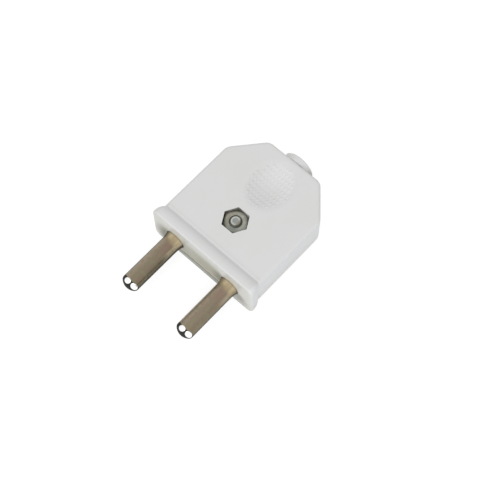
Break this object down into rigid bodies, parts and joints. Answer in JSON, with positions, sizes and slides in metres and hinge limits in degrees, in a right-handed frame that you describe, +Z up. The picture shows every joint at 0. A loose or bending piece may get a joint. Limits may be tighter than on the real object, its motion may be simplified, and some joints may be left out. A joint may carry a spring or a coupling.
{
  "type": "two-pin plug",
  "caption": "Flat two-pin mains plug with round pins, a white two-shell housing, a front lip, a dotted thumb dish and a rear cable outlet.",
  "frame": {"origin": "on the flat front face, midway between the two pins, at the height of their axes", "axes": "-Y along the pins, away from the body; +X to the right seen from behind and above; +Z up, towards the face with the nut"},
  "size_m": [0.0346, 0.056, 0.0136],
  "materials": {
    "white_moulding": "white moulded plastic with a soft sheen",
    "plated_pin": "nickel-plated brass, drawn along its length, bright at the domed tip",
    "zinc_screw": "zinc-plated steel",
    "steel_fixing": "plated steel, slightly dulled",
    "grip_fibre": "plain pressed fibre"
  },
  "bodies": {
    "root": {"upper_shell": "white_moulding", "lower_shell": "white_moulding", "left_pin": "plated_pin", "right_pin": "plated_pin", "left_terminal_screw": "zinc_screw", "right_terminal_screw": "zinc_screw", "case_screw": "steel_fixing", "case_nut": "steel_fixing", "cord_grip_bar": "grip_fibre", "left_cord_grip_screw": "zinc_screw", "right_cord_grip_screw": "zinc_screw"}
  },
  "joints": []
}
